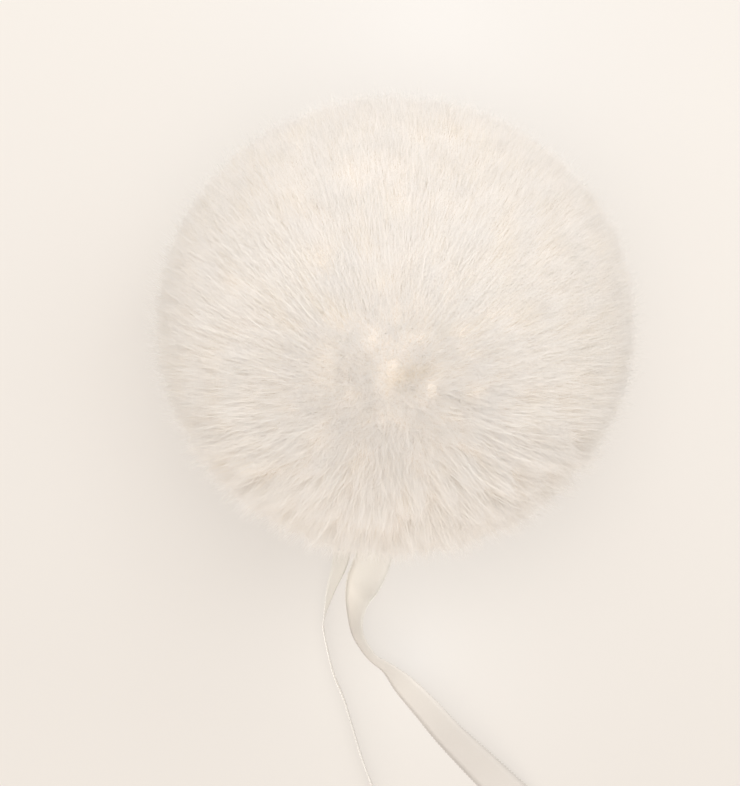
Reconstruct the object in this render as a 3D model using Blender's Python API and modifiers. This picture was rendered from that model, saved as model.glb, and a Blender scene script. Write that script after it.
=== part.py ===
"""Fur pom pom with two ribbon ties, lying on a flat surface. Metres, +Z up.

The origin is the middle of the small flat spot that the ball rests on, and the ties run towards -Y.
The ball is one gathered piece of long fur: a lumpy backing with a flat spot, and locks that fan out
from a whorl near the top. Each tie is a narrow ribbon that comes out under the ball's front and lies
on the surface, standing on its edge for part of the way and ending in a plain straight cut.
"""

import math
import random

import bpy
import bmesh
from mathutils import Quaternion, Vector, noise

MM = 0.001

# The ball, in millimetres: half its width, depth and height, and how high its middle lies
HALF_WIDTH = 79.0
HALF_DEPTH = 74.0
TOP_HEIGHT = 70.0
BOTTOM_HEIGHT = 66.0
CENTRE_Z = 60.0
# The backing that the locks grow from
BACKING_SHARE = 0.79
BACKING_BOTTOM = 64.0
BACKING_LUMP = 1.6
LUMP_PITCH = 24.0
# The lumps fade out between these heights of a direction, towards the flat spot
LUMPS_START = -0.8
LUMPS_FULL = -0.3
# The whorl that the fur fans out from, near the top, as a point on the ball
WHORL = Vector((-3.4, -28.0, 122.0))

# The locks
TURNS = 312
GOLDEN_ANGLE = math.pi * (3.0 - math.sqrt(5.0))
LOCK_ROOT = 5.2
LOCK_TIP = 0.55
LOCK_MARKS = (0.0, 0.42, 0.76, 1.0)
LOCK_SINK = 4.0
# A lock is full to this share of its length, and this is how its taper is rounded
LOCK_FULL = 0.3
LOCK_TAPER = 0.8
# Where along its length a lock's bend is
LOCK_BEND = 0.6
SHORTEST_REACH = 0.955
LEAN = math.radians(15.0)
# Round the flat spot the locks are short, and splay outwards level with the floor.
# These angles are from straight down.
FLAT_CONE = math.radians(25.0)
SPLAY_CONE = math.radians(38.0)
UPRIGHT_CONE = math.radians(80.0)
MOST_SPLAY = -0.5
SKIRT_LENGTH = 11.0
TIE_ROOM = 0.8
SEED = 7

# The ribbon ties
TIE_WIDTH = 12.0
TIE_THICK = 1.0
TIE_STEPS = 80
FLOOR_GAP = 0.02
# Rows run from the ball to the cut end: the middle of the ribbon in plan, how high it is held off
# the surface, and its roll in degrees. With a positive roll the ribbon's right edge is the raised one.
TIE_COLUMNS = ("x", "y", "lift", "roll")
TIE_LEFT = (
    (-14.9, -37.0, 5.0, -30.0),
    (-15.0, -50.0, 3.5, -44.0),
    (-15.9, -64.0, 1.0, -54.0),
    (-17.9, -78.3, 0.0, -64.0),
    (-21.1, -88.0, 0.0, -76.0),
    (-23.3, -97.0, 0.0, -88.0),
    (-23.6, -102.0, 0.0, -90.0),
    (-20.5, -115.6, 0.0, -90.0),
    (-16.5, -125.8, 0.0, -90.0),
    (-11.4, -142.7, 0.0, -90.0),
    (-7.0, -155.0, 0.0, -88.0),
    (-1.5, -170.0, 0.0, -56.0),
    (3.5, -184.0, 0.0, -16.0),
    (8.0, -197.0, 0.0, 0.0),
)
TIE_RIGHT = (
    (-1.0, -34.0, 6.0, 0.0),
    (-2.0, -50.0, 3.5, 0.0),
    (-3.8, -64.0, 1.0, 0.0),
    (-6.3, -76.0, 0.0, 2.0),
    (-9.6, -84.5, 0.0, 15.0),
    (-12.1, -90.6, 0.0, 45.0),
    (-12.9, -97.0, 0.0, 64.0),
    (-12.4, -102.0, 0.0, 70.0),
    (-10.8, -105.8, 0.0, 72.0),
    (-7.1, -110.9, 0.0, 73.0),
    (-1.7, -114.8, 0.0, 67.0),
    (4.0, -120.8, 0.0, 50.0),
    (11.4, -128.8, 0.0, 42.0),
    (18.6, -137.0, 0.0, 36.0),
    (29.1, -147.4, 0.0, 24.0),
    (44.0, -162.0, 0.0, 8.0),
    (57.0, -175.0, 0.0, 0.0),
)


def clear_scene():
    for item in list(bpy.data.objects):
        bpy.data.objects.remove(item, do_unlink=True)


def new_collection(name):
    collection = bpy.data.collections.new(name)
    bpy.context.scene.collection.children.link(collection)
    return collection


def new_material(name, colour, roughness):
    material = bpy.data.materials.new(name)
    material.use_nodes = True
    shader = material.node_tree.nodes["Principled BSDF"]
    shader.inputs["Base Color"].default_value = (*colour, 1.0)
    shader.inputs["Roughness"].default_value = roughness
    shader.inputs["Metallic"].default_value = 0.0
    material.diffuse_color = (*colour, 1.0)
    return material


def new_object(name, mesh, collection):
    item = bpy.data.objects.new(name, mesh)
    collection.objects.link(item)
    return item


def ball_reach(direction, bottom):
    """How far the ball's surface is from its middle along a unit direction, before it is flattened."""
    height = TOP_HEIGHT if direction.z > 0.0 else bottom
    squares = (
        (direction.x / HALF_WIDTH) ** 2,
        (direction.y / HALF_DEPTH) ** 2,
        (direction.z / height) ** 2,
    )
    return 1.0 / math.sqrt(sum(squares))


def backing_point(direction):
    """A point of the backing's lumpy surface. Its lowest part is left below the floor, to be cut off."""
    reach = ball_reach(direction, BACKING_BOTTOM / BACKING_SHARE) * BACKING_SHARE
    evenness = min(1.0, max(0.0, (direction.z - LUMPS_START) / (LUMPS_FULL - LUMPS_START)))
    lump = noise.noise(direction * (CENTRE_Z / LUMP_PITCH)) * BACKING_LUMP * evenness
    return Vector((0.0, 0.0, CENTRE_Z)) + direction * (reach + lump)


def make_backing(collection):
    """A round body with a flat spot underneath."""
    mesh = bpy.data.meshes.new("pompom")
    shape = bmesh.new()
    bmesh.ops.create_icosphere(shape, subdivisions=3, radius=1.0)
    for vertex in shape.verts:
        vertex.co = backing_point(vertex.co.normalized()) * MM
    whole = list(shape.verts) + list(shape.edges) + list(shape.faces)
    bmesh.ops.bisect_plane(
        shape, geom=whole, dist=1e-6, plane_co=(0, 0, 0), plane_no=(0, 0, -1), clear_outer=True
    )
    rim = [edge for edge in shape.edges if edge.is_boundary]
    bmesh.ops.edgeloop_fill(shape, edges=rim)
    bmesh.ops.recalc_face_normals(shape, faces=shape.faces)
    shape.to_mesh(mesh)
    shape.free()
    return new_object("pompom", mesh, collection)


def tie_rows(table):
    return [dict(zip(TIE_COLUMNS, row)) for row in table]


def smooth_between(before, start, end, after, share):
    """A Catmull-Rom value between start and end."""
    slope_start = (end - before) / 2.0
    slope_end = (after - start) / 2.0
    square = share * share
    cube = square * share
    return (
        (2 * cube - 3 * square + 1) * start
        + (cube - 2 * square + share) * slope_start
        + (3 * square - 2 * cube) * end
        + (cube - square) * slope_end
    )


def tie_value(rows, column, place):
    """A column's value at a place that runs from 0 at the first row to 1 at the last."""
    spans = len(rows) - 1
    span = min(int(place * spans), spans - 1)
    picks = [min(max(span + step, 0), spans) for step in (-1, 0, 1, 2)]
    return smooth_between(*[rows[pick][column] for pick in picks], place * spans - span)


def tie_point(rows, place, across):
    """A point on the ribbon's middle sheet. Across is in millimetres, positive to the ribbon's right."""
    step = 0.5 / TIE_STEPS
    before, after = max(place - step, 0.0), min(place + step, 1.0)
    run_x = tie_value(rows, "x", after) - tie_value(rows, "x", before)
    run_y = tie_value(rows, "y", after) - tie_value(rows, "y", before)
    right = Vector((-run_y, run_x, 0.0)).normalized()
    roll = math.radians(tie_value(rows, "roll", place))
    lean = right * math.cos(roll) + Vector((0.0, 0.0, math.sin(roll)))
    lift = max(tie_value(rows, "lift", place), 0.0)
    height = lift + TIE_WIDTH / 2 * abs(math.sin(roll)) + TIE_THICK / 2 * abs(math.cos(roll)) + FLOOR_GAP
    middle = Vector((tie_value(rows, "x", place), tie_value(rows, "y", place), height))
    return middle + lean * across


def make_tie(name, table, collection):
    """A flat strip, bent and rolled along its table, with Solidify for its thickness."""
    rows = tie_rows(table)
    mesh = bpy.data.meshes.new(name)
    strip = bmesh.new()
    bmesh.ops.create_grid(strip, x_segments=TIE_STEPS, y_segments=1, size=0.5)
    for vertex in strip.verts:
        vertex.co = tie_point(rows, vertex.co.x + 0.5, vertex.co.y * TIE_WIDTH) * MM
    strip.to_mesh(mesh)
    strip.free()
    mesh.shade_smooth()
    tie = new_object(name, mesh, collection)
    thicken = tie.modifiers.new("thickness", "SOLIDIFY")
    thicken.thickness = TIE_THICK * MM
    thicken.offset = 0.0
    return tie


def tie_marks():
    """Points spread over both ribbons, which the locks keep clear of."""
    marks = []
    for table in (TIE_LEFT, TIE_RIGHT):
        rows = tie_rows(table)
        for step in range(TIE_STEPS + 1):
            for across in (-0.5, -0.25, 0.0, 0.25, 0.5):
                marks.append(tie_point(rows, step / TIE_STEPS, across * TIE_WIDTH))
    return marks


def lock_width(share):
    """The lock's half width along it: full at first, then down to a thin tip."""
    body = 1.0 - max(0.0, share - LOCK_FULL) / (1.0 - LOCK_FULL)
    return LOCK_TIP + (LOCK_ROOT - LOCK_TIP) * body**LOCK_TAPER


def lean_share(from_floor):
    """How much a lock leans away from the whorl. It turns to an outward splay near the floor."""
    share = (from_floor - SPLAY_CONE) / (UPRIGHT_CONE - SPLAY_CONE)
    return min(1.0, max(MOST_SPLAY, share))


def lock_path(tip_way, whorl_way, from_floor, reach_share):
    """A lock's points from inside the backing to its tip, leaving square and bending from the whorl."""
    away = whorl_way.cross(tip_way)
    angle = whorl_way.angle(tip_way)
    lean = LEAN * math.sin(angle) * lean_share(from_floor)
    root_way = Quaternion(away.normalized(), angle - lean) @ whorl_way
    middle = Vector((0.0, 0.0, CENTRE_Z))
    surface = backing_point(root_way)
    root = surface - root_way * LOCK_SINK
    tip = middle + tip_way * ball_reach(tip_way, BOTTOM_HEIGHT) * reach_share
    if tip.z < LOCK_TIP:
        outward = Vector((tip.x, tip.y, 0.0)).normalized()
        tip = outward * (surface.xy.length + SKIRT_LENGTH * reach_share)
    bend = root + root_way * (tip - root).length * LOCK_BEND
    points = []
    for share in LOCK_MARKS:
        point = root.lerp(bend, share).lerp(bend.lerp(tip, share), share)
        width = lock_width(share)
        point.z = max(point.z, width)
        points.append((point, width))
    return points


def all_locks():
    """Every lock's path: tips spread evenly round the ball, apart from its flat spot and the ties."""
    draw = random.Random(SEED)
    whorl_way = (WHORL - Vector((0.0, 0.0, CENTRE_Z))).normalized()
    to_whorl = Vector((0.0, 0.0, 1.0)).rotation_difference(whorl_way)
    marks = tie_marks()
    paths = []
    for turn in range(TURNS):
        rise = 1.0 - 2.0 * (turn + 0.5) / TURNS
        ring = math.sqrt(1.0 - rise * rise)
        spin = turn * GOLDEN_ANGLE
        way = to_whorl @ Vector((ring * math.cos(spin), ring * math.sin(spin), rise))
        reach_share = draw.uniform(SHORTEST_REACH, 1.0)
        from_floor = way.angle(Vector((0.0, 0.0, -1.0)))
        if from_floor < FLAT_CONE:
            continue
        path = lock_path(way, whorl_way, from_floor, reach_share)
        if clear_of(path, marks):
            paths.append(path)
    return paths


def clear_of(path, marks):
    """True if no part of a lock comes near a ribbon."""
    for (start, wide), (end, narrow) in zip(path, path[1:]):
        for share in (0.0, 0.5, 1.0):
            point = start.lerp(end, share)
            room = wide + (narrow - wide) * share + TIE_ROOM
            if any((mark - point).length < room for mark in marks):
                return False
    return True


def lock_section(collection):
    """The three-cornered outline that every lock is drawn with."""
    curve = bpy.data.curves.new("lock_section", "CURVE")
    spline = curve.splines.new("POLY")
    spline.points.add(2)
    for corner, point in enumerate(spline.points):
        angle = corner * math.tau / 3
        point.co = (math.cos(angle) * MM, math.sin(angle) * MM, 0.0, 1.0)
    spline.use_cyclic_u = True
    return new_object("lock_section", curve, collection)


def make_locks(collection):
    """All locks as one mesh of closed tubes, drawn as curves first."""
    draw = random.Random(SEED + 1)
    section = lock_section(collection)
    curve = bpy.data.curves.new("locks", "CURVE")
    curve.dimensions = "3D"
    curve.bevel_mode = "OBJECT"
    curve.bevel_object = section
    curve.use_fill_caps = True
    for path in all_locks():
        spline = curve.splines.new("POLY")
        spline.points.add(len(path) - 1)
        tilt = draw.uniform(0.0, math.tau)
        for point, (place, width) in zip(spline.points, path):
            point.co = (*(place * MM), 1.0)
            point.radius = width
            point.tilt = tilt
    drawn = new_object("locks_drawn", curve, collection)
    bpy.context.view_layer.update()
    depsgraph = bpy.context.evaluated_depsgraph_get()
    mesh = bpy.data.meshes.new_from_object(drawn.evaluated_get(depsgraph))
    shape = bmesh.new()
    shape.from_mesh(mesh)
    bmesh.ops.remove_doubles(shape, verts=shape.verts, dist=1e-6)
    bmesh.ops.recalc_face_normals(shape, faces=shape.faces)
    shape.to_mesh(mesh)
    shape.free()
    locks = new_object("locks", mesh, collection)
    locks.matrix_world = drawn.matrix_world
    for spent in (drawn, section):
        bpy.data.objects.remove(spent, do_unlink=True)
    locks.hide_render = True
    locks.display_type = "WIRE"
    return locks


def make_pompom(parts, cutters):
    """The backing with its locks fused on at their roots."""
    ball = make_backing(parts)
    join = ball.modifiers.new("locks", "BOOLEAN")
    join.operation = "UNION"
    join.solver = "EXACT"
    join.use_self = True
    join.object = make_locks(cutters)
    return ball


def main():
    clear_scene()
    parts = new_collection("pom_pom")
    cutters = new_collection("cutters")
    fur = new_material("cream_fur", (0.84, 0.78, 0.70), 0.9)
    left_ribbon = new_material("cream_ribbon_left", (0.78, 0.71, 0.62), 0.45)
    right_ribbon = new_material("cream_ribbon_right", (0.78, 0.71, 0.62), 0.45)
    make_pompom(parts, cutters).data.materials.append(fur)
    make_tie("tie_left", TIE_LEFT, parts).data.materials.append(left_ribbon)
    make_tie("tie_right", TIE_RIGHT, parts).data.materials.append(right_ribbon)


main()
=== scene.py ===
"""The look of a cream fur pom pom with two satin ribbon ties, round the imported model. Metres, +Z up.

The fur is drawn as fine tapered strips in locks that fan out from a whorl near the top, over a soft
inner body that closes the gaps between them. The ribbons are thin sheets with looped edges.
"""

import math
from collections import namedtuple

import bpy
import numpy as np
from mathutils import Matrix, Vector, noise


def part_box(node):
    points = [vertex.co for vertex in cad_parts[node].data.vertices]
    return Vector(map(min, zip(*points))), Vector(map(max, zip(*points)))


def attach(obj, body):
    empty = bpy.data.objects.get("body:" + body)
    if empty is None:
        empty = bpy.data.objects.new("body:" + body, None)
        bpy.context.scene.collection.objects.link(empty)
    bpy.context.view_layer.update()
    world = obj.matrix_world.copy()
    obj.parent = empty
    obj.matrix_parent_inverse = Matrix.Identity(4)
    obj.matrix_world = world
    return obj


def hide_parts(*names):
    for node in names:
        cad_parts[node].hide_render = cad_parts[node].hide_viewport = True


MM = 0.001

# The camera looks straight down. The photo is 740 by 786 pixels, and one pixel is this much of the floor
CAMERA_HEIGHT = 1.0
CAMERA_CLIP = (0.01, 20.0)
FLOOR_PIXEL = 0.339 * MM
PHOTO_HEIGHT = 786
CAMERA_PLACE = (-8.0 * MM, -21.7 * MM)
SENSOR = 36.0

# The ball, apart from its width, depth and height, which come from the frame
BALL_MIDDLE = 60.0 * MM
WHORL = np.array((-3.4, -28.0, 122.0)) * MM
INNER_SHARE = 0.92
INNER_LUMP = 1.0 * MM
INNER_LUMPS_ROUND = 14.0
# The inner body's colours: the warm tone of the roots, darkened with painted shade of the deep fur
INNER_TONE_AND_SHADE = ((0.3, (0.77, 0.70, 0.62)), (0.7, (0.83, 0.765, 0.69)))

# The parting: a short crease that runs up and to the right from just above the whorl
CREASE = ((-2.0 * MM, -17.5 * MM), (11.5 * MM, -14.0 * MM))
CREASE_SIDE = 2.8 * MM
CREASE_PUSH = 0.15 * MM

# How far a hair's tip leans from its root, away from the whorl, by its angle from the whorl, in degrees
LEAN_AT = (0.0, 15.0, 45.0, 90.0, 130.0, 180.0)
LEAN = (0.0, 6.0, 17.0, 12.0, 3.0, -4.0)

# The dense underfur, and the longer guard hair. Each lock has so many hairs of a coat. Marks are the shares
# of a hair's length where its half width is given, in millimetres. Roots and reaches are shares of the way
# to the ball's surface, and low_reach is added to the reach where the fur is tufted. Lean is a share of the
# lean above, and gather is how far the hairs of a lock draw together. Wander is how far a hair strays from
# its lock, in degrees, and frizz is how much more it strays at the whorl
COAT_SHAPE = "name pieces hairs marks widths root reach reach_spread low_reach"
COAT_LAY = "lean gather wander frizz tints"
Coat = namedtuple("Coat", f"{COAT_SHAPE} {COAT_LAY}")
UNDERFUR = Coat(
    name="underfur",
    pieces=4,
    hairs=220,
    marks=(0.0, 1.0),
    widths=(0.085, 0.0),
    root=0.90,
    reach=0.972,
    reach_spread=0.018,
    low_reach=0.006,
    lean=0.4,
    gather=0.8,
    wander=1.5,
    frizz=2.5,
    tints=(0.1, 0.8),
)
GUARD = Coat(
    name="guard",
    pieces=2,
    hairs=43,
    marks=(0.0, 0.35, 0.7, 1.0),
    widths=(0.035, 0.045, 0.04, 0.0),
    root=0.70,
    reach=0.99,
    reach_spread=0.032,
    low_reach=0.04,
    lean=1.0,
    gather=1.1,
    wander=3.5,
    frizz=0.8,
    tints=(0.75, 0.99),
)

# The locks that both coats gather in. Jitter and radius are shares of the distance between two locks, and a
# lean is in degrees. Gathers are for the smooth fur, what the tufted fur has more, and their spread
LOCKS = 1800
LOCK_JITTER = 0.25
LOCK_RADIUS = 0.85
LOCK_LEAN = 2.0
LOCK_GATHERS = (0.06, 0.58, 0.08)
LOCK_REACH = 0.010
LOCK_REACH_SHARES = (0.3, 0.9)
LOCK_HOLLOW = 0.02
LOCK_TINT = 0.7

# Sizes of the whorl, in degrees: where the hair strays most, and where the locks gather less
WHORL_SIZE = 22.0
WHORL_SMOOTH = 25.0

# Where the fur is tufted: the change below the whorl and the change under the ball, and how strong that is
LOW_CHANGE = 0.5
UNDER_START = 0.15
UNDER_CHANGE = 0.4
UNDER_STRENGTH = 0.8

# A hair bends at this share of its length, twists this much about its run, and varies this much in width
HAIR_BEND = 0.6
HAIR_TWIST = 0.35
HAIR_WIDTHS = (0.7, 1.3)

# The hair's colour from root to tip, the tints of single hairs from the crease's peach on, how much of that
# peach the crease has, and how much of the light goes through a hair
CREASE_TINT = 0.9
FUR_ALONG = (
    (0.0, (0.95, 0.88, 0.81)),
    (0.5, (0.975, 0.945, 0.91)),
    (1.0, (0.98, 0.965, 0.955)),
)
FUR_TINTS = (
    (0.0, (0.94, 0.88, 0.79)),
    (0.15, (0.99, 0.97, 0.93)),
    (0.4, (1.0, 1.0, 1.0)),
    (0.8, (0.99, 0.99, 0.99)),
    (1.0, (0.96, 0.94, 0.91)),
)
FUR_THROUGH = 0.45

# The hairs' shading turns from the ball's outward direction, towards the sky and the way that they lean,
# and a small share of it is each hair's own
UPWARD = np.array((0.0, 0.0, 0.7))
LEAN_LIT = 0.34
OWN_SHADE = 0.1

# No hair goes further out than this share of the ball, or nearer to the floor than about this room
LONGEST_REACH = 1.07
FLOOR_ROOM = 0.4 * MM
FLOOR_SPLAY = 0.7

# The ribbon ties, as in the part's source: the middle in plan, the lift off the floor, in millimetres, and
# the roll in degrees. The satin itself is thinner than the part's ribbons
TIE_WIDTH = 12.0
TIE_THICK = 0.2
TIE_STEPS = 240
TIE_ACROSS = 6
TIE_COLUMNS = ("x", "y", "lift", "roll")
TIE_LEFT = (
    (-14.9, -37.0, 5.0, -30.0),
    (-15.0, -50.0, 3.5, -44.0),
    (-15.9, -64.0, 1.0, -54.0),
    (-17.9, -78.3, 0.0, -64.0),
    (-21.1, -88.0, 0.0, -76.0),
    (-23.3, -97.0, 0.0, -88.0),
    (-23.6, -102.0, 0.0, -90.0),
    (-20.5, -115.6, 0.0, -90.0),
    (-16.5, -125.8, 0.0, -90.0),
    (-11.4, -142.7, 0.0, -90.0),
    (-7.0, -155.0, 0.0, -88.0),
    (-1.5, -170.0, 0.0, -56.0),
    (3.5, -184.0, 0.0, -16.0),
    (8.0, -197.0, 0.0, 0.0),
)
TIE_RIGHT = (
    (-1.0, -34.0, 6.0, 0.0),
    (-2.0, -50.0, 3.5, 0.0),
    (-3.8, -64.0, 1.0, 0.0),
    (-6.3, -76.0, 0.0, 2.0),
    (-9.6, -84.5, 0.0, 15.0),
    (-12.1, -90.6, 0.0, 45.0),
    (-12.9, -97.0, 0.0, 64.0),
    (-12.4, -102.0, 0.0, 70.0),
    (-10.8, -105.8, 0.0, 72.0),
    (-7.1, -110.9, 0.0, 73.0),
    (-1.7, -114.8, 0.0, 67.0),
    (4.0, -120.8, 0.0, 50.0),
    (11.4, -128.8, 0.0, 42.0),
    (18.6, -137.0, 0.0, 36.0),
    (29.1, -147.4, 0.0, 24.0),
    (44.0, -162.0, 0.0, 8.0),
    (57.0, -175.0, 0.0, 0.0),
)

# Painted light and painted shade along each ribbon: the satin's colour changes between these places, in
# ribbon widths from the root
RIBBON_PAINTED_LIGHT_PLACES = (4.0, 11.0)
RIBBON_PAINTED_LIGHT = {
    "left": (
        (0.0, (0.86, 0.83, 0.78)),
        (0.3, (0.93, 0.90, 0.86)),
        (0.6, (0.80, 0.77, 0.73)),
        (1.0, (0.84, 0.81, 0.77)),
    ),
    "right": (
        (0.0, (0.89, 0.86, 0.81)),
        (0.12, (0.93, 0.90, 0.85)),
        (0.26, (0.71, 0.68, 0.64)),
        (0.6, (0.685, 0.655, 0.62)),
        (0.85, (0.575, 0.545, 0.515)),
        (1.0, (0.55, 0.52, 0.49)),
    ),
}

# The satin's threads: how many cross the ribbon and run along it, and their tints
THREAD_STRETCH = (60.0, 4.0, 1.0)
THREAD_TINTS = ((0.3, (0.96, 0.95, 0.94)), (0.7, (1.0, 1.0, 1.0)))

# The small thread loops along both edges of a ribbon, in millimetres
LOOP_PITCH = 1.15
LOOP_OUT = 0.12
LOOP_RADII = (0.50, 0.24, 0.18)
LOOP_RINGS = 4
LOOP_SIDES = 7

# The floor's painted light rises away from the viewer, with soft spots of painted light and painted shadow
# round the ball: their places, sizes and strengths
FLOOR_PAINTED_LIGHT_TURN = 15.0
FLOOR_PAINTED_LIGHT_SLOPE = (-0.14, 0.10)
FLOOR_PAINTED_LIGHT_RISE = 0.55
FLOOR_PAINTED_SPOTS = (
    ((0.008, -0.112), 0.10, 0.7),
    ((0.015, 0.110), 0.15, 0.5),
    ((-0.080, -0.010), 0.08, -0.4),
    ((-0.050, -0.062), 0.07, -0.35),
)
FLOOR_SIZE = 6.0
# The floor's dim colour, and the strength and colours of its emission, which paints light and shadow on it
FLOOR_COLOUR = (0.22, 0.207, 0.192, 1.0)
FLOOR_PAINTED_LIGHT_STRENGTH = 0.686
FLOOR_PAINTED_LIGHT_COLOURS = (
    (0.0, (0.785, 0.73, 0.675)),
    (0.55, (0.895, 0.845, 0.79)),
    (1.0, (0.985, 0.945, 0.905)),
)

SEED = 11


def unit(vectors):
    """The same directions with a length of one, along the last axis."""
    return vectors / np.maximum(np.linalg.norm(vectors, axis=-1, keepdims=True), 1e-12)


class Ball:
    """The fur's outer surface: an ellipsoid round the ball's middle, cut off by the floor."""

    def __init__(self, low, high):
        self.middle = np.array((0.0, 0.0, BALL_MIDDLE))
        self.halves = np.array(
            ((high[0] - low[0]) / 2, (high[1] - low[1]) / 2, high[2] - BALL_MIDDLE)
        )
        self.whorl = unit(WHORL - self.middle)
        self.right = unit(np.cross((0.0, 1.0, 0.0), self.whorl))
        self.up = np.cross(self.whorl, self.right)

    def reach(self, ways):
        return 1.0 / np.linalg.norm(ways / self.halves, axis=-1, keepdims=True)

    def point(self, ways, share):
        return self.middle + ways * self.reach(ways) * share

    def way(self, angle, turn):
        """The direction at an angle from the whorl, turned about it."""
        ring = np.cos(turn)[..., None] * self.right + np.sin(turn)[..., None] * self.up
        return np.cos(angle)[..., None] * self.whorl + np.sin(angle)[..., None] * ring

    def beside(self, angle, turn, along, around):
        """The angle and turn of a direction that is a little along and around from another."""
        way = self.way(angle, turn)
        side = np.cos(turn)[:, None] * self.up - np.sin(turn)[:, None] * self.right
        moved = unit(way + np.cross(side, way) * along[:, None] + side * around[:, None])
        turned = np.arctan2(moved @ self.up, moved @ self.right)
        return np.arccos(np.clip(moved @ self.whorl, -1.0, 1.0)), turned

    def outward(self, points):
        return unit((points - self.middle) / self.halves**2)


def add_object(name, mesh):
    item = bpy.data.objects.new(name, mesh)
    bpy.context.scene.collection.objects.link(item)
    return item


def strips_mesh(name, marks_along, paths, sides, widths, tints, normals):
    """One mesh of flat tapered strips. Each has two points at every mark but its tip."""
    count, marks = paths.shape[:2]
    across = sides * widths[..., None]
    pairs = np.stack((paths - across, paths + across), axis=2)
    per_hair = 2 * marks - 1
    points = pairs.reshape(count, 2 * marks, 3)[:, :per_hair]
    points = np.ascontiguousarray(points.reshape(-1, 3), np.float32)
    corners = []
    for mark in range(marks - 2):
        base = 2 * mark
        corners += [base, base + 1, base + 3, base + 2]
    corners += [2 * marks - 4, 2 * marks - 3, 2 * marks - 2]
    sizes = [4] * (marks - 2) + [3]
    starts = np.concatenate(([0], np.cumsum(sizes)[:-1]))
    first = np.arange(count)[:, None]
    loops = (first * per_hair + np.array(corners)).ravel().astype(np.int32)
    loop_starts = (first * len(corners) + starts).ravel().astype(np.int32)
    mesh = bpy.data.meshes.new(name)
    mesh.vertices.add(len(points))
    mesh.vertices.foreach_set("co", points.ravel())
    mesh.loops.add(len(loops))
    mesh.loops.foreach_set("vertex_index", loops)
    mesh.polygons.add(len(loop_starts))
    mesh.polygons.foreach_set("loop_start", loop_starts)
    mesh.update(calc_edges=True)
    mesh.shade_smooth()
    along = np.repeat(marks_along, 2)[:per_hair]
    places = np.stack(np.broadcast_arrays(tints[:, None], along[None]), axis=-1)
    places[..., 0] += np.resize((0.0, 1.0), per_hair) * 0.004
    flat = places.reshape(-1, 2)[loops].astype(np.float32)
    for layer_name in ("Strand", "OFBake"):
        layer = mesh.uv_layers.new(name=layer_name, do_init=False)
        layer.uv.foreach_set("vector", flat.ravel())
    full = np.repeat(normals, 2, axis=1)[:, :per_hair].reshape(-1, 3)
    mesh.normals_split_custom_set_from_vertices(full.astype(np.float32))
    return mesh


def spread(count):
    """Angles from the whorl and turns about it for points spread evenly over a ball."""
    step = np.arange(count)
    angle = np.arccos(1.0 - 2.0 * (step + 0.5) / count)
    turn = step * math.pi * (3.0 - math.sqrt(5.0))
    return angle, turn


def part_tips(tips):
    """Pushes the tips beside the crease away from it, and down a little."""
    start, end = (np.array(place) for place in CREASE)
    run = unit(end - start)
    length = np.linalg.norm(end - start)
    offset = tips[:, :2] - start
    along = offset @ run
    side = offset @ np.array((-run[1], run[0]))
    past = np.maximum(np.maximum(-along, along - length), 0.0)
    near = np.exp(-(side**2 + past**2) / CREASE_SIDE**2) * (tips[:, 2] > BALL_MIDDLE)
    push = near * CREASE_PUSH * np.where(side < 0.0, -1.0, 1.0)
    tips[:, 0] -= push * run[1]
    tips[:, 1] += push * run[0]
    tips[:, 2] -= near * CREASE_PUSH
    return tips, near


def hair_paths(ball, coat, tips, root_angle, root_turn):
    """Points along hairs that leave their roots squarely and bend towards their tips."""
    root_way = ball.way(root_angle, root_turn)
    roots = ball.point(root_way, coat.root)
    length = np.linalg.norm(tips - roots, axis=-1, keepdims=True)
    bends = roots + root_way * length * HAIR_BEND
    share = np.array(coat.marks)[None, :, None]
    start, bend, end = roots[:, None], bends[:, None], tips[:, None]
    return (1 - share) ** 2 * start + 2 * share * (1 - share) * bend + share**2 * end


def keep_above_floor(paths, draw):
    """Lays what would go below the floor level on it, spread outwards."""
    room = FLOOR_ROOM * draw.uniform(1.0, 6.0, paths.shape[:1])[:, None]
    deep = np.maximum(room - paths[..., 2], 0.0)
    outward = unit(paths[..., :2])
    paths[..., :2] += outward * (deep * FLOOR_SPLAY)[..., None]
    paths[..., 2] = np.maximum(paths[..., 2], room)
    return paths


class Locks:
    """The places, lean and colour of the locks that the hairs of both coats gather in.

    The fur is tufted below the whorl and under the ball, and smooth above.
    """

    def __init__(self, ball, draw):
        angle, turn = spread(LOCKS)
        self.pitch = math.sqrt(4.0 * math.pi / LOCKS)
        angle = angle + draw.normal(0.0, LOCK_JITTER, LOCKS) * self.pitch
        self.angle = np.clip(angle, 0.001, math.pi - 0.001)
        ring = np.maximum(np.sin(angle), 0.05)
        self.turn = turn + draw.normal(0.0, LOCK_JITTER, LOCKS) * self.pitch / ring
        way = ball.way(self.angle, self.turn)
        low_side = np.clip(0.5 + (ball.whorl[1] - way[:, 1]) / LOW_CHANGE, 0.0, 1.0)
        near_whorl = np.clip(self.angle / math.radians(WHORL_SMOOTH), 0.2, 1.0)
        under = np.clip((UNDER_START - way[:, 2]) / UNDER_CHANGE, 0.0, 1.0)
        self.tufted = np.maximum(low_side, under * UNDER_STRENGTH)
        smooth, more, spread_out = LOCK_GATHERS
        gather = smooth + more * self.tufted + draw.uniform(-spread_out, spread_out, LOCKS)
        self.gather = gather * near_whorl
        self.lean = np.radians(draw.normal(0.0, LOCK_LEAN, LOCKS)) * np.sin(self.angle)
        self.at_whorl = np.exp(-((self.angle / math.radians(WHORL_SIZE)) ** 2))
        least, more = LOCK_REACH_SHARES
        self.reach = draw.normal(0.0, LOCK_REACH, LOCKS) * (least + more * self.tufted)
        self.tint = draw.uniform(0.0, 1.0, LOCKS)


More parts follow.
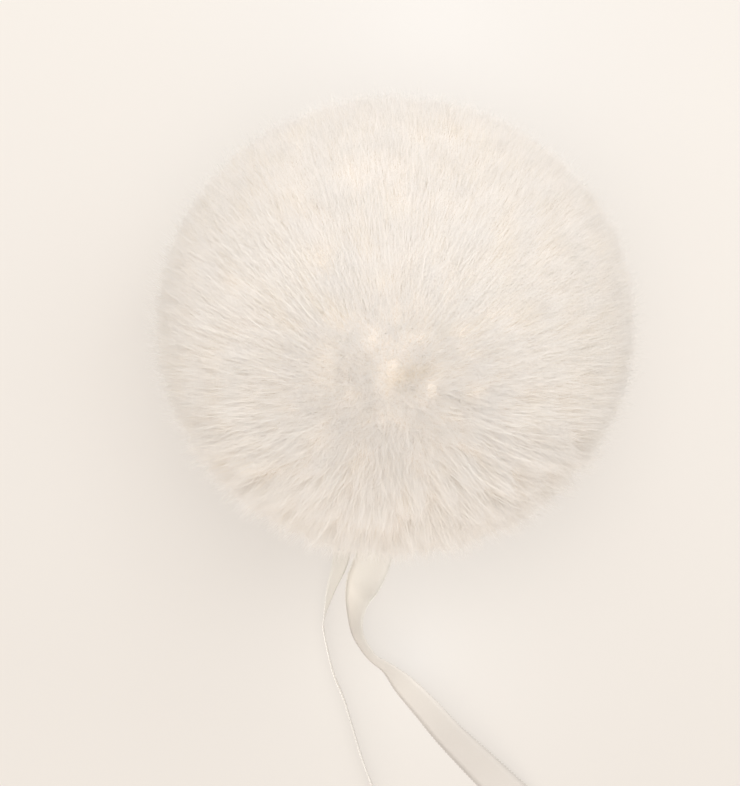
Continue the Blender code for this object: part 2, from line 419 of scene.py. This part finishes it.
def lay_hairs(ball, locks, coat, draw):
    """A coat's hairs: their points and their tints."""
    each = np.repeat(np.arange(LOCKS), coat.hairs)
    count = len(each)
    radius = locks.pitch * LOCK_RADIUS * np.sqrt(draw.uniform(0.0, 1.0, count))
    spin = draw.uniform(0.0, math.tau, count)
    off = radius * np.stack((np.cos(spin), np.sin(spin)))
    gather = locks.gather[each] * coat.gather
    angle, turn = locks.angle[each], locks.turn[each]
    tip_angle, tip_turn = ball.beside(angle, turn, *(off * (1.0 - gather)))
    stray = coat.wander * (1.0 + coat.frizz * locks.at_whorl[each])
    wander = np.radians(draw.normal(0.0, 1.0, (2, count)) * stray)
    root_angle, root_turn = ball.beside(angle, turn, *(off + wander))
    lean = np.radians(np.interp(np.degrees(root_angle), LEAN_AT, LEAN)) + locks.lean[each]
    root_angle = np.maximum(root_angle - lean * coat.lean, 0.0)
    reach = coat.reach + locks.reach[each] + draw.normal(0.0, coat.reach_spread, count)
    reach = reach + coat.low_reach * locks.tufted[each] - LOCK_HOLLOW * (radius / locks.pitch) * gather
    tips = ball.point(ball.way(tip_angle, tip_turn), np.minimum(reach, LONGEST_REACH)[:, None])
    tips, near_crease = part_tips(tips)
    paths = hair_paths(ball, coat, tips, root_angle, root_turn)
    paths = keep_above_floor(paths, draw)
    own_tint = draw.uniform(0.0, 1.0 - LOCK_TINT, count)
    tints = np.interp(locks.tint[each] * LOCK_TINT + own_tint, (0.0, 1.0), coat.tints)
    return paths, tints * (1.0 - CREASE_TINT * near_crease)


def make_coat(ball, locks, coat, material, draw):
    """The coat's hairs as flat tapered strips, shaded mostly as the ball's surface is."""
    paths, tints = lay_hairs(ball, locks, coat, draw)
    count = len(paths)
    run = unit(np.gradient(paths, axis=1))
    outward = ball.outward(paths)
    sides = unit(np.cross(run, outward))
    tilt = draw.normal(0.0, HAIR_TWIST, count)[:, None, None]
    sides = unit(sides * np.cos(tilt) + np.cross(run, sides) * np.sin(tilt))
    away = unit(run - (run * outward).sum(-1, keepdims=True) * outward)
    lit = outward + UPWARD + away * LEAN_LIT
    facing = (np.cross(sides, run) * lit).sum((1, 2))
    sides *= np.where(facing < 0.0, -1.0, 1.0)[:, None, None]
    normals = unit(unit(lit) * (1.0 - OWN_SHADE) + np.cross(sides, run) * OWN_SHADE)
    widths = np.array(coat.widths) * MM * draw.uniform(*HAIR_WIDTHS, count)[:, None]
    pieces = []
    for part in range(coat.pieces):
        pick = slice(part, None, coat.pieces)
        name = f"{coat.name}_{part + 1}"
        mesh = strips_mesh(
            name, coat.marks, paths[pick], sides[pick], widths[pick], tints[pick], normals[pick]
        )
        mesh.materials.append(material)
        pieces.append(add_object(name, mesh))
    return pieces


def make_fur(ball):
    draw = np.random.default_rng(SEED)
    locks = Locks(ball, draw)
    material = fur_material("fur", "Strand")
    pieces = []
    for coat in (UNDERFUR, GUARD):
        pieces += make_coat(ball, locks, coat, material, draw)
    return pieces


def new_material(name):
    material = bpy.data.materials.new(name)
    material.use_nodes = True
    return material, material.node_tree, material.node_tree.nodes["Principled BSDF"]


def ramp_node(tree, stops):
    node = tree.nodes.new("ShaderNodeValToRGB")
    elements = node.color_ramp.elements
    while len(elements) < len(stops):
        elements.new(0.5)
    for element, (place, colour) in zip(elements, stops):
        element.position = place
        element.color = (*colour, 1.0)
    return node


def fur_material(name, map_name):
    """Cream hair: yellower at the root, paler at the tip, and a little unlike from lock to lock."""
    material, tree, shader = new_material(name)
    places = tree.nodes.new("ShaderNodeUVMap")
    places.uv_map = map_name
    split = tree.nodes.new("ShaderNodeSeparateXYZ")
    tree.links.new(places.outputs["UV"], split.inputs["Vector"])
    along = ramp_node(tree, FUR_ALONG)
    tree.links.new(split.outputs["Y"], along.inputs["Fac"])
    tint = ramp_node(tree, FUR_TINTS)
    tree.links.new(split.outputs["X"], tint.inputs["Fac"])
    mix = tree.nodes.new("ShaderNodeMix")
    mix.data_type = "RGBA"
    mix.blend_type = "MULTIPLY"
    mix.inputs["Factor"].default_value = 1.0
    tree.links.new(along.outputs["Color"], mix.inputs["A"])
    tree.links.new(tint.outputs["Color"], mix.inputs["B"])
    tree.links.new(mix.outputs["Result"], shader.inputs["Base Color"])
    shader.inputs["Roughness"].default_value = 0.8
    shader.inputs["Specular IOR Level"].default_value = 0.2
    through = tree.nodes.new("ShaderNodeBsdfTranslucent")
    tree.links.new(mix.outputs["Result"], through.inputs["Color"])
    both = tree.nodes.new("ShaderNodeMixShader")
    both.inputs["Fac"].default_value = FUR_THROUGH
    tree.links.new(shader.outputs["BSDF"], both.inputs[1])
    tree.links.new(through.outputs["BSDF"], both.inputs[2])
    tree.links.new(both.outputs["Shader"], tree.nodes["Material Output"].inputs["Surface"])
    return material


def inner_material():
    """The dense fur near the skin: warmer than the tips, and darker with painted shade of the deep fur,
    with a fine speckle.
    """
    material, tree, shader = new_material("fur_depth")
    speckle = tree.nodes.new("ShaderNodeTexNoise")
    speckle.inputs["Scale"].default_value = 900.0
    speckle.inputs["Detail"].default_value = 3.0
    colour = ramp_node(tree, INNER_TONE_AND_SHADE)
    tree.links.new(speckle.outputs["Fac"], colour.inputs["Fac"])
    tree.links.new(colour.outputs["Color"], shader.inputs["Base Color"])
    shader.inputs["Roughness"].default_value = 1.0
    shader.inputs["Specular IOR Level"].default_value = 0.0
    return material


def make_inner(ball):
    """The dense fur under the locks, as a soft lumpy body."""
    bpy.ops.mesh.primitive_ico_sphere_add(subdivisions=5, radius=1.0)
    body = bpy.context.object
    body.name = "fur_depth"
    mesh = body.data
    ways = np.empty(len(mesh.vertices) * 3)
    mesh.vertices.foreach_get("co", ways)
    ways = unit(ways.reshape(-1, 3))
    lumps = np.array([noise.noise(Vector(way * INNER_LUMPS_ROUND)) for way in ways])
    points = ball.point(ways, INNER_SHARE) + ways * lumps[:, None] * INNER_LUMP
    points[:, 2] = np.maximum(points[:, 2], FLOOR_ROOM)
    mesh.vertices.foreach_set("co", points.ravel())
    mesh.shade_smooth()
    mesh.materials.append(inner_material())
    return body


def smooth_between(before, start, end, after, share):
    """A Catmull-Rom value between start and end."""
    slope_start = (end - before) / 2.0
    slope_end = (after - start) / 2.0
    square = share * share
    cube = square * share
    return (
        (2 * cube - 3 * square + 1) * start
        + (cube - 2 * square + share) * slope_start
        + (3 * square - 2 * cube) * end
        + (cube - square) * slope_end
    )


class Tie:
    """A ribbon's route, read from its table. Places run from 0 at the ball to 1 at the cut end."""

    def __init__(self, table):
        rows = np.array(table)
        self.columns = {name: rows[:, column] for column, name in enumerate(TIE_COLUMNS)}
        self.spans = len(rows) - 1

    def value(self, column, place):
        values = self.columns[column]
        span = np.minimum((place * self.spans).astype(int), self.spans - 1)
        picks = [values[np.clip(span + step, 0, self.spans)] for step in (-1, 0, 1, 2)]
        return smooth_between(*picks, place * self.spans - span)

    def frame(self, place):
        """The ribbon's middle and the direction across it, towards its right edge."""
        step = 0.5 / TIE_STEPS
        before, after = np.maximum(place - step, 0.0), np.minimum(place + step, 1.0)
        run = np.stack(
            (
                self.value("x", after) - self.value("x", before),
                self.value("y", after) - self.value("y", before),
                np.zeros_like(place),
            ),
            axis=-1,
        )
        right = unit(np.stack((-run[:, 1], run[:, 0], run[:, 2]), axis=-1))
        roll = np.radians(self.value("roll", place))
        lean = right * np.cos(roll)[:, None]
        lean[:, 2] += np.sin(roll)
        lift = np.maximum(self.value("lift", place), 0.0)
        half_thick = TIE_THICK / 2 * np.abs(np.cos(roll))
        height = lift + TIE_WIDTH / 2 * np.abs(np.sin(roll)) + half_thick
        middle = np.stack((self.value("x", place), self.value("y", place), height), axis=-1)
        return middle * MM, lean


def ribbon_material(name, painted_light_colours):
    """Cream satin with fine threads, and painted light and painted shade along its length."""
    material, tree, shader = new_material(name)
    places = tree.nodes.new("ShaderNodeUVMap")
    places.uv_map = "Ribbon"
    stretch = tree.nodes.new("ShaderNodeMapping")
    stretch.inputs["Scale"].default_value = THREAD_STRETCH
    tree.links.new(places.outputs["UV"], stretch.inputs["Vector"])
    threads = tree.nodes.new("ShaderNodeTexNoise")
    threads.inputs["Scale"].default_value = 3.0
    tree.links.new(stretch.outputs["Vector"], threads.inputs["Vector"])
    colour = ramp_node(tree, THREAD_TINTS)
    tree.links.new(threads.outputs["Fac"], colour.inputs["Fac"])
    split = tree.nodes.new("ShaderNodeSeparateXYZ")
    tree.links.new(places.outputs["UV"], split.inputs["Vector"])
    run = tree.nodes.new("ShaderNodeMapRange")
    run.inputs["From Min"].default_value = RIBBON_PAINTED_LIGHT_PLACES[0]
    run.inputs["From Max"].default_value = RIBBON_PAINTED_LIGHT_PLACES[1]
    tree.links.new(split.outputs["Y"], run.inputs["Value"])
    # The painted light and painted shade along the ribbon
    painted_light_ramp = ramp_node(tree, painted_light_colours)
    tree.links.new(run.outputs["Result"], painted_light_ramp.inputs["Fac"])
    mix = tree.nodes.new("ShaderNodeMix")
    mix.data_type = "RGBA"
    mix.blend_type = "MULTIPLY"
    mix.inputs["Factor"].default_value = 1.0
    tree.links.new(colour.outputs["Color"], mix.inputs["A"])
    tree.links.new(painted_light_ramp.outputs["Color"], mix.inputs["B"])
    tree.links.new(mix.outputs["Result"], shader.inputs["Base Color"])
    bump = tree.nodes.new("ShaderNodeBump")
    bump.inputs["Strength"].default_value = 0.15
    bump.inputs["Distance"].default_value = 0.0001
    tree.links.new(threads.outputs["Fac"], bump.inputs["Height"])
    tree.links.new(bump.outputs["Normal"], shader.inputs["Normal"])
    shader.inputs["Roughness"].default_value = 0.55
    shader.inputs["Specular IOR Level"].default_value = 0.25
    shader.inputs["Sheen Weight"].default_value = 0.2
    return material


def loop_shape():
    """The points and faces of one small round loop, which is flat along its third axis."""
    heights = np.linspace(0.0, math.pi, LOOP_RINGS + 2)[1:-1]
    turns = np.arange(LOOP_SIDES) * math.tau / LOOP_SIDES
    ring = np.stack((np.cos(turns), np.sin(turns)), axis=-1)
    rows = []
    for height in heights:
        rows.append(np.column_stack((np.full(LOOP_SIDES, math.cos(height)), ring * math.sin(height))))
    points = np.vstack([((1.0, 0.0, 0.0),), *rows, ((-1.0, 0.0, 0.0),)])
    last = len(points) - 1
    faces = []
    for side in range(LOOP_SIDES):
        after = (side + 1) % LOOP_SIDES
        faces.append((0, 1 + side, 1 + after))
        for row in range(LOOP_RINGS - 1):
            start = 1 + row * LOOP_SIDES
            below = start + LOOP_SIDES
            faces.append((start + side, below + side, below + after, start + after))
        start = last - LOOP_SIDES
        faces.append((last, start + after, start + side))
    return points, faces


def even_places(tie, count):
    """Places along the tie that are the same distance apart."""
    fine = np.linspace(0.0, 1.0, 4 * TIE_STEPS)
    steps = np.linalg.norm(np.diff(tie.frame(fine)[0], axis=0), axis=1)
    travelled = np.concatenate(([0.0], np.cumsum(steps)))
    goals = (np.arange(count) + 0.5) / count * travelled[-1]
    return np.interp(goals, travelled, fine)


def add_ribbon_map(mesh, places):
    """A map of where each point lies: across the ribbon, and along it in ribbon widths."""
    corners = np.empty(len(mesh.loops), np.int32)
    mesh.loops.foreach_get("vertex_index", corners)
    layer = mesh.uv_layers.new(name="Ribbon", do_init=False)
    layer.uv.foreach_set("vector", places[corners].astype(np.float32).ravel())


def make_loops(name, tie, length, material):
    """The loops along both edges of a ribbon, as one mesh."""
    shape, shape_faces = loop_shape()
    count = int(length / (LOOP_PITCH * MM))
    middle, lean = tie.frame(even_places(tie, count))
    run = unit(np.gradient(middle, axis=0))
    up = np.cross(lean, run)
    points = []
    for side in (-1.0, 1.0):
        centres = middle + lean * side * (TIE_WIDTH / 2 + LOOP_OUT) * MM
        axes = np.stack((run, lean, up), axis=1) * np.array(LOOP_RADII)[None, :, None] * MM
        points.append(centres[:, None] + np.einsum("pa,cad->cpd", shape, axes))
    points = np.concatenate(points).reshape(-1, 3)
    points[:, 2] = np.maximum(points[:, 2], 0.0)
    faces = [
        tuple(corner + loop * len(shape) for corner in face)
        for loop in range(2 * count)
        for face in shape_faces
    ]
    mesh = bpy.data.meshes.new(name)
    mesh.from_pydata(points.tolist(), [], faces)
    mesh.shade_smooth()
    run = np.tile((np.arange(count) + 0.5) / count * length / (TIE_WIDTH * MM), 2)
    run = np.repeat(run, len(shape))
    add_ribbon_map(mesh, np.stack((np.full_like(run, 0.5), run), axis=-1))
    mesh.materials.append(material)
    return add_object(name, mesh)


def make_ribbon(name, tie, material):
    """A thin sheet along the tie's route."""
    place = np.linspace(0.0, 1.0, TIE_STEPS + 1)
    middle, lean = tie.frame(place)
    offsets = np.linspace(-0.5, 0.5, TIE_ACROSS + 1) * TIE_WIDTH * MM
    points = middle[:, None] + lean[:, None] * offsets[None, :, None]
    rows, columns = points.shape[:2]
    index = np.arange(rows * columns).reshape(rows, columns)
    faces = np.stack((index[:-1, :-1], index[1:, :-1], index[1:, 1:], index[:-1, 1:]), axis=-1)
    mesh = bpy.data.meshes.new(name)
    mesh.from_pydata(points.reshape(-1, 3).tolist(), [], faces.reshape(-1, 4).tolist())
    mesh.shade_smooth()
    run = np.concatenate(([0.0], np.cumsum(np.linalg.norm(np.diff(middle, axis=0), axis=1))))
    grid = np.stack(
        (
            np.broadcast_to(np.linspace(0.0, 1.0, columns), (rows, columns)),
            np.broadcast_to((run / (TIE_WIDTH * MM))[:, None], (rows, columns)),
        ),
        axis=-1,
    ).reshape(-1, 2)
    add_ribbon_map(mesh, grid)
    mesh.materials.append(material)
    ribbon = add_object(name, mesh)
    thicken = ribbon.modifiers.new("thickness", "SOLIDIFY")
    thicken.thickness = TIE_THICK * MM
    thicken.offset = 0.0
    return ribbon, float(run[-1])


def add_painted_spot(tree, level, places, place, radius, strength):
    """Adds a round soft spot to a level: painted light where the strength is positive, painted shadow where
    it is negative.
    """
    moved = tree.nodes.new("ShaderNodeMapping")
    moved.inputs["Location"].default_value = (-place[0] / radius, -place[1] / radius, 0.0)
    moved.inputs["Scale"].default_value = (1.0 / radius, 1.0 / radius, 1.0 / radius)
    tree.links.new(places, moved.inputs["Vector"])
    spot = tree.nodes.new("ShaderNodeTexGradient")
    spot.gradient_type = "QUADRATIC_SPHERE"
    tree.links.new(moved.outputs["Vector"], spot.inputs["Vector"])
    total = tree.nodes.new("ShaderNodeMath")
    total.operation = "MULTIPLY_ADD"
    tree.links.new(spot.outputs["Fac"], total.inputs[0])
    total.inputs[1].default_value = strength
    tree.links.new(level, total.inputs[2])
    return total.outputs["Value"]


def make_floor():
    """The pale surface: dim cream, with an emission of its own that keeps the shadows light and carries
    painted light and painted shadow.
    """
    bpy.ops.mesh.primitive_plane_add(size=FLOOR_SIZE, location=(0.0, 0.0, 0.0))
    floor = bpy.context.object
    floor.name = "floor"
    material, tree, shader = new_material("floor")
    shader.inputs["Base Color"].default_value = FLOOR_COLOUR
    shader.inputs["Roughness"].default_value = 0.9
    shader.inputs["Specular IOR Level"].default_value = 0.1
    places = tree.nodes.new("ShaderNodeTexCoord")
    split = tree.nodes.new("ShaderNodeSeparateXYZ")
    turned = tree.nodes.new("ShaderNodeMapping")
    turned.inputs["Rotation"].default_value = (0.0, 0.0, math.radians(FLOOR_PAINTED_LIGHT_TURN))
    tree.links.new(places.outputs["Object"], turned.inputs["Vector"])
    tree.links.new(turned.outputs["Vector"], split.inputs["Vector"])
    # Painted light that rises away from the viewer, then the spots of painted light and painted shadow
    painted_slope = tree.nodes.new("ShaderNodeMapRange")
    painted_slope.inputs["From Min"].default_value = FLOOR_PAINTED_LIGHT_SLOPE[0]
    painted_slope.inputs["From Max"].default_value = FLOOR_PAINTED_LIGHT_SLOPE[1]
    painted_slope.inputs["To Max"].default_value = FLOOR_PAINTED_LIGHT_RISE
    tree.links.new(split.outputs["Y"], painted_slope.inputs["Value"])
    level = painted_slope.outputs["Result"]
    for place, radius, strength in FLOOR_PAINTED_SPOTS:
        level = add_painted_spot(tree, level, places.outputs["Object"], place, radius, strength)
    painted_light = ramp_node(tree, FLOOR_PAINTED_LIGHT_COLOURS)
    tree.links.new(level, painted_light.inputs["Fac"])
    tree.links.new(painted_light.outputs["Color"], shader.inputs["Emission Color"])
    shader.inputs["Emission Strength"].default_value = FLOOR_PAINTED_LIGHT_STRENGTH
    floor.data.materials.append(material)


def make_camera():
    data = bpy.data.cameras.new("camera")
    data.sensor_width = SENSOR
    data.lens = SENSOR * CAMERA_HEIGHT / (PHOTO_HEIGHT * FLOOR_PIXEL)
    data.clip_start, data.clip_end = CAMERA_CLIP
    camera = add_object("camera", data)
    camera.location = (*CAMERA_PLACE, CAMERA_HEIGHT)
    bpy.context.scene.camera = camera


def make_light(name, place, size, power, colour):
    """A round lamp that is aimed at the ball's foot."""
    data = bpy.data.lights.new(name, "AREA")
    data.shape = "DISK"
    data.size = size
    data.energy = power
    data.color = colour
    lamp = add_object(name, data)
    lamp.location = place
    lamp.rotation_euler = Vector(place).to_track_quat("Z", "Y").to_euler()


def make_lights():
    """Wide soft lamps above, behind and before the ball, and an even pale sky."""
    make_light("overhead", (0.0, 0.1, 2.2), 1.6, 20.0, (1.0, 0.985, 0.975))
    make_light("behind_high", (0.2, 1.1, 1.7), 1.4, 11.5, (1.0, 0.98, 0.965))
    make_light("behind_low", (0.0, 1.7, 0.9), 1.4, 3.5, (1.0, 0.96, 0.96))
    make_light("front", (-0.2, -1.4, 1.1), 1.4, 8.0, (1.0, 0.87, 0.76))
    world = bpy.data.worlds.new("world")
    world.use_nodes = True
    background = world.node_tree.nodes["Background"]
    background.inputs["Color"].default_value = (1.0, 0.985, 0.945, 1.0)
    background.inputs["Strength"].default_value = 0.80
    bpy.context.scene.world = world
    bpy.context.scene.view_settings.view_transform = "Standard"


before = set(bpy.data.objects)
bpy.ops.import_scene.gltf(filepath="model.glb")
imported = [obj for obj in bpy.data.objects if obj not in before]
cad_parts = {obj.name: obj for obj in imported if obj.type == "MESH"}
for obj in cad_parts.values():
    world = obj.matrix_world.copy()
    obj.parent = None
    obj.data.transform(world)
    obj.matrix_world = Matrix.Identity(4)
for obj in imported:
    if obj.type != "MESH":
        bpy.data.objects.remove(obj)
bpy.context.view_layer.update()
make_camera()
ball = Ball(*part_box("pompom"))
fur = make_fur(ball)
for piece in [make_inner(ball), *fur]:
    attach(piece, "root")
    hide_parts("pompom")
make_floor()
for side, table in (("left", TIE_LEFT), ("right", TIE_RIGHT)):
    tie = Tie(table)
    satin = ribbon_material(f"ribbon_{side}", RIBBON_PAINTED_LIGHT[side])
    ribbon, length = make_ribbon(f"ribbon_{side}", tie, satin)
    loops = make_loops(f"ribbon_{side}_loops", tie, length, satin)
    for piece in (ribbon, loops):
        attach(piece, "root")
        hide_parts(f"tie_{side}")
make_lights()
